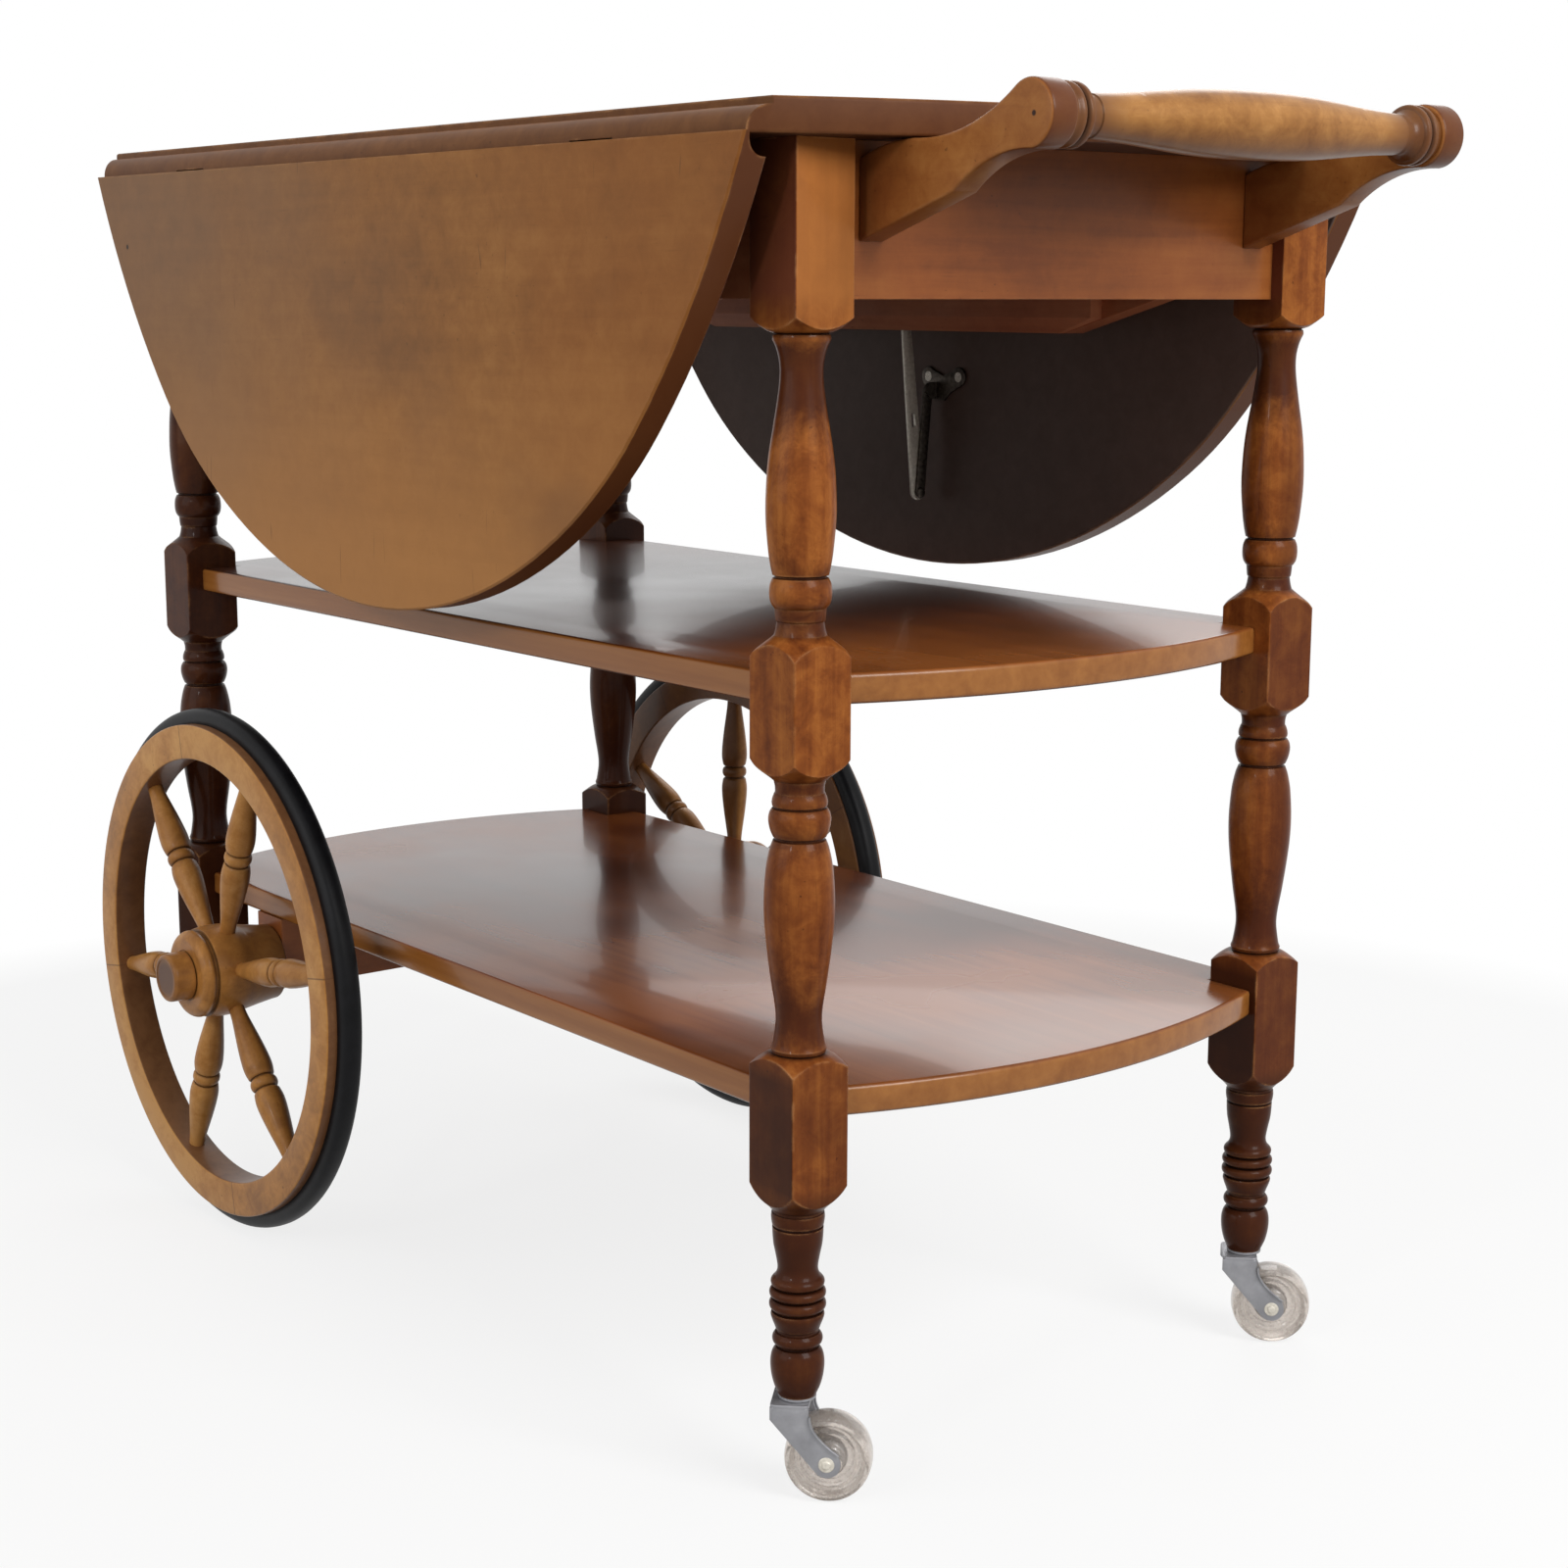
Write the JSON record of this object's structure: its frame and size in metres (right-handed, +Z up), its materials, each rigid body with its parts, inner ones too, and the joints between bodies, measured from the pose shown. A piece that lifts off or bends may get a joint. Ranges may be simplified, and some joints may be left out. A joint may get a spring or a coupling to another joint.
{
  "type": "drop leaf tea trolley",
  "caption": "Oval drop-leaf serving trolley with two shelves, turned posts, two large spoked wheels, two swivel casters and a turned handle.",
  "frame": {"origin": "middle of the bounding box, on the floor", "axes": "+X to the handle and casters, +Y to the far leaf, +Z up"},
  "size_m": [0.9464, 0.551, 0.7699],
  "materials": {
    "top_wood": "semi-gloss lacquer",
    "frame_wood": "semi-gloss lacquer",
    "wheel_wood": "semi-gloss lacquer",
    "tyre": "matte",
    "bright_steel": "satin",
    "dark_steel": "satin",
    "zinc": "plated",
    "caster_wheel": "clear, ribbed"
  },
  "bodies": {
    "root": {"top_board": "top_wood", "post_handle_near": "frame_wood", "post_handle_far": "frame_wood", "post_wheel_near": "frame_wood", "post_wheel_far": "frame_wood", "end_apron_handle": "frame_wood", "end_apron_wheel": "frame_wood", "side_apron_near": "frame_wood", "side_apron_far": "frame_wood", "apron_batten_near": "frame_wood", "apron_batten_far": "frame_wood", "top_cleats": "frame_wood", "top_cleat_screws": "dark_steel", "middle_shelf": "frame_wood", "lower_shelf": "frame_wood", "frame_dowels": "frame_wood", "axle_bolster": "frame_wood", "bolster_screws": "dark_steel", "axle": "dark_steel", "axle_nuts": "dark_steel", "handle_arm_near": "frame_wood", "handle_arm_far": "frame_wood", "handle_bar": "frame_wood", "hinge_fixed_plates": "dark_steel", "hinge_pins": "dark_steel", "top_hinge_screws": "dark_steel", "stay_brackets": "bright_steel", "caster_sockets": "zinc"},
    "near_leaf": {"near_leaf": "top_wood", "near_hinge_leaf_plates": "dark_steel", "near_stay_leaf_plate": "bright_steel", "near_leaf_screws": "dark_steel"},
    "near_stay_strut": {"near_stay_strut": "bright_steel"},
    "near_stay_link": {"near_stay_link": "bright_steel"},
    "near_wheel": {"near_wheel_hub": "wheel_wood", "near_wheel_hub_cap": "wheel_wood", "near_wheel_spokes": "wheel_wood", "near_wheel_felloes": "wheel_wood", "near_wheel_tyre": "tyre"},
    "near_caster_fork": {"near_caster_fork": "zinc", "near_caster_axle": "zinc"},
    "near_caster_wheel": {"near_caster_wheel": "caster_wheel"},
    "far_leaf": {"far_leaf": "top_wood", "far_hinge_leaf_plates": "dark_steel", "far_stay_leaf_plate": "bright_steel", "far_leaf_screws": "dark_steel"},
    "far_stay_strut": {"far_stay_strut": "bright_steel"},
    "far_stay_link": {"far_stay_link": "bright_steel"},
    "far_wheel": {"far_wheel_hub": "wheel_wood", "far_wheel_hub_cap": "wheel_wood", "far_wheel_spokes": "wheel_wood", "far_wheel_felloes": "wheel_wood", "far_wheel_tyre": "tyre"},
    "far_caster_fork": {"far_caster_fork": "zinc", "far_caster_axle": "zinc"},
    "far_caster_wheel": {"far_caster_wheel": "caster_wheel"}
  },
  "joints": [
    {"name": "near_leaf_hinge", "type": "hinge", "parent": "root", "child": "near_leaf", "pos_m": [-0.036, -0.225, 0.747], "axis": [-1, 0, 0], "range_deg": [0, 90]},
    {"name": "near_strut_pivot", "type": "hinge", "parent": "root", "child": "near_stay_strut", "pos_m": [-0.036, -0.195, 0.65], "axis": [-1, 0, 0], "range_deg": [0, 109.75]},
    {"name": "near_link_pivot", "type": "hinge", "parent": "near_leaf", "child": "near_stay_link", "pos_m": [-0.03835, -0.215, 0.598], "axis": [-1, 0, 0], "range_deg": [-149.25, 0]},
    {"name": "near_wheel_spin", "type": "hinge", "parent": "root", "child": "near_wheel", "pos_m": [-0.285, -0.2315, 0.188], "axis": [0, 1, 0], "continuous": true},
    {"name": "near_caster_swivel", "type": "hinge", "parent": "root", "child": "near_caster_fork", "pos_m": [0.3195, -0.185, 0.0595], "axis": [0, 0, 1], "continuous": true},
    {"name": "near_caster_roll", "type": "hinge", "parent": "near_caster_fork", "child": "near_caster_wheel", "pos_m": [0.33223, -0.17227, 0.025], "axis": [-0.7071, 0.7071, 0], "continuous": true},
    {"name": "far_leaf_hinge", "type": "hinge", "parent": "root", "child": "far_leaf", "pos_m": [-0.036, 0.225, 0.747], "axis": [1, 0, 0], "range_deg": [0, 90]},
    {"name": "far_strut_pivot", "type": "hinge", "parent": "root", "child": "far_stay_strut", "pos_m": [-0.036, 0.195, 0.65], "axis": [1, 0, 0], "range_deg": [0, 109.75]},
    {"name": "far_link_pivot", "type": "hinge", "parent": "far_leaf", "child": "far_stay_link", "pos_m": [-0.03365, 0.215, 0.598], "axis": [1, 0, 0], "range_deg": [-149.25, 0]},
    {"name": "far_wheel_spin", "type": "hinge", "parent": "root", "child": "far_wheel", "pos_m": [-0.285, 0.2315, 0.188], "axis": [0, 1, 0], "continuous": true},
    {"name": "far_caster_swivel", "type": "hinge", "parent": "root", "child": "far_caster_fork", "pos_m": [0.3195, 0.185, 0.0595], "axis": [0, 0, 1], "continuous": true},
    {"name": "far_caster_roll", "type": "hinge", "parent": "far_caster_fork", "child": "far_caster_wheel", "pos_m": [0.33223, 0.19773, 0.025], "axis": [-0.7071, 0.7071, 0], "continuous": true}
  ],
  "couplings": [
    {"joint": "near_strut_pivot", "follows": "near_leaf_hinge", "ratio": 1.2185},
    {"joint": "near_link_pivot", "follows": "near_leaf_hinge", "ratio": -1.6572},
    {"joint": "far_strut_pivot", "follows": "far_leaf_hinge", "ratio": 1.2185},
    {"joint": "far_link_pivot", "follows": "far_leaf_hinge", "ratio": -1.6572}
  ]
}
